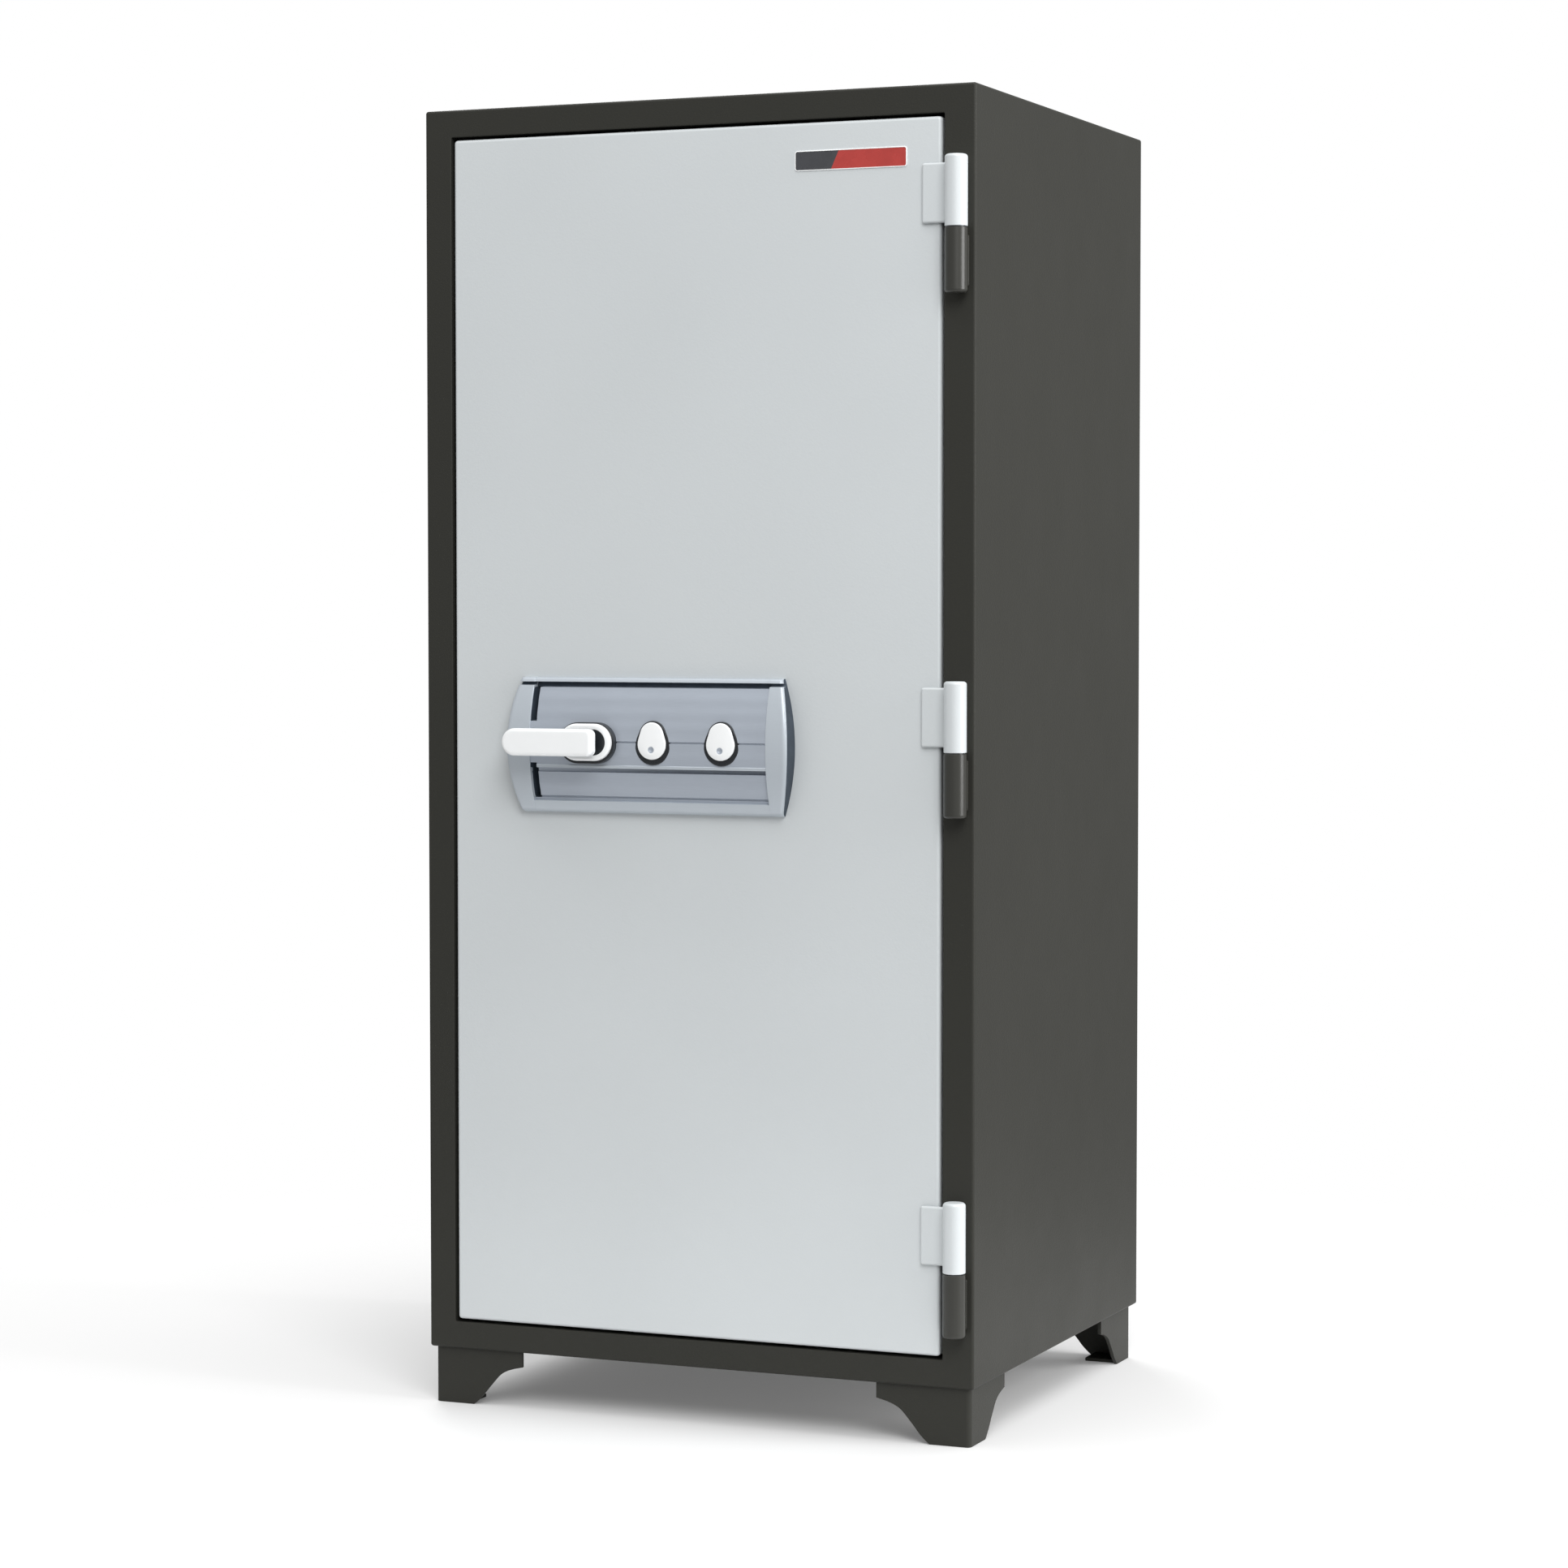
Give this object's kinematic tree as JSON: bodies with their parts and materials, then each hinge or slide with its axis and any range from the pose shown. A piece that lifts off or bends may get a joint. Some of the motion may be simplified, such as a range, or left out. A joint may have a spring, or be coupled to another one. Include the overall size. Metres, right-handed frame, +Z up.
{
  "type": "fire-resistant document cabinet",
  "caption": "Tall free-standing fire-resistant document cabinet with a hinged insulated door, lever handle, key locks behind drop covers, sliding bolts and adjustable shelves.",
  "frame": {"origin": "on the floor, under the middle of the closed cabinet's overall box", "axes": "+Z up, -Y towards the person who faces the door, +X to that person's right"},
  "size_m": [0.64, 0.613, 1.42],
  "materials": {
    "body_paint": "satin",
    "shelf_paint": "satin",
    "insulation": "matte",
    "seal": "matte",
    "zinc_steel": "satin",
    "ground_steel": "polished",
    "brass": "satin",
    "door_paint": "satin",
    "panel_silver": "satin",
    "bright_nickel": "polished",
    "black_plastic": "gloss",
    "badge_enamel": "gloss"
  },
  "bodies": {
    "cabinet": {"outer_casing": "body_paint", "back_panel": "body_paint", "base_plate": "body_paint", "front_frame": "body_paint", "inner_liner": "body_paint", "strike_channels": "zinc_steel", "insulation_left": "insulation", "insulation_right": "insulation", "insulation_top": "insulation", "insulation_bottom": "insulation", "insulation_back": "insulation", "door_seal": "seal", "foot_front_left": "body_paint", "foot_front_right": "body_paint", "foot_rear_left": "body_paint", "foot_rear_right": "body_paint", "foot_screws": "zinc_steel", "shelf_1": "shelf_paint", "shelf_2": "shelf_paint", "shelf_3": "shelf_paint", "shelf_uprights": "zinc_steel", "shelf_clips": "zinc_steel", "hinge_cabinet_bottom": "body_paint", "hinge_cabinet_middle": "body_paint", "hinge_cabinet_top": "body_paint", "hinge_pins": "ground_steel", "hinge_washers": "black_plastic"},
    "door": {"door_front": "door_paint", "door_insulation": "insulation", "door_plug_casing": "door_paint", "mechanism_plate": "zinc_steel", "door_inner_cover": "door_paint", "inner_cover_screws": "zinc_steel", "dog_bolts": "ground_steel", "bolt_bushes": "brass", "guide_studs": "zinc_steel", "lock_panel": "panel_silver", "lock_panel_cap_left": "panel_silver", "lock_panel_cap_right": "panel_silver", "handle_rose": "bright_nickel", "key_tubes": "zinc_steel", "badge_plate": "badge_enamel", "hinge_door_bottom": "door_paint", "hinge_door_middle": "door_paint", "hinge_door_top": "door_paint", "key_escutcheon_left": "black_plastic", "key_escutcheon_right": "black_plastic", "lock_case_left": "zinc_steel", "lock_case_right": "zinc_steel"},
    "handle": {"lever_handle": "bright_nickel", "handle_spindle": "ground_steel", "bolt_cam": "zinc_steel"},
    "boltwork": {"bolt_carriage": "zinc_steel", "locking_bolts": "ground_steel"},
    "cover_left": {"key_cover_left": "bright_nickel"},
    "cover_right": {"key_cover_right": "bright_nickel"},
    "core_left": {"key_core_left": "brass"},
    "core_right": {"key_core_right": "brass"},
    "latch_left": {"lock_bolt_left": "ground_steel"},
    "latch_right": {"lock_bolt_right": "ground_steel"}
  },
  "joints": [
    {"name": "door_swing", "type": "hinge", "parent": "cabinet", "child": "door", "pos_m": [0.303, -0.261, 0.7285], "axis": [0, 0, 1], "range_deg": [0, 180]},
    {"name": "handle_turn", "type": "hinge", "parent": "door", "child": "handle", "pos_m": [-0.112, -0.2885, 0.735], "axis": [0, -1, 0], "range_deg": [0, 90]},
    {"name": "bolt_throw", "type": "slide", "parent": "door", "child": "boltwork", "axis": [-1, 0, 0], "range_m": [0, 0.025]},
    {"name": "key_cover_left_swing", "type": "hinge", "parent": "door", "child": "cover_left", "pos_m": [-0.037, -0.2745, 0.75], "axis": [0, -1, 0], "range_deg": [-90, 90]},
    {"name": "key_core_left_turn", "type": "hinge", "parent": "door", "child": "core_left", "pos_m": [-0.037, -0.1835, 0.735], "axis": [0, -1, 0], "range_deg": [0, 90]},
    {"name": "lock_bolt_left_rise", "type": "slide", "parent": "door", "child": "latch_left", "axis": [0, 0, 1], "range_m": [0, 0.012]},
    {"name": "key_cover_right_swing", "type": "hinge", "parent": "door", "child": "cover_right", "pos_m": [0.043, -0.2745, 0.75], "axis": [0, -1, 0], "range_deg": [-90, 90]},
    {"name": "key_core_right_turn", "type": "hinge", "parent": "door", "child": "core_right", "pos_m": [0.043, -0.1835, 0.735], "axis": [0, -1, 0], "range_deg": [0, 90]},
    {"name": "lock_bolt_right_rise", "type": "slide", "parent": "door", "child": "latch_right", "axis": [0, 0, 1], "range_m": [0, 0.012]}
  ],
  "couplings": [
    {"joint": "bolt_throw", "follows": "handle_turn", "m_per_rad": 0.015915},
    {"joint": "lock_bolt_left_rise", "follows": "key_core_left_turn", "m_per_rad": 0.0076394},
    {"joint": "lock_bolt_right_rise", "follows": "key_core_right_turn", "m_per_rad": 0.0076394}
  ]
}
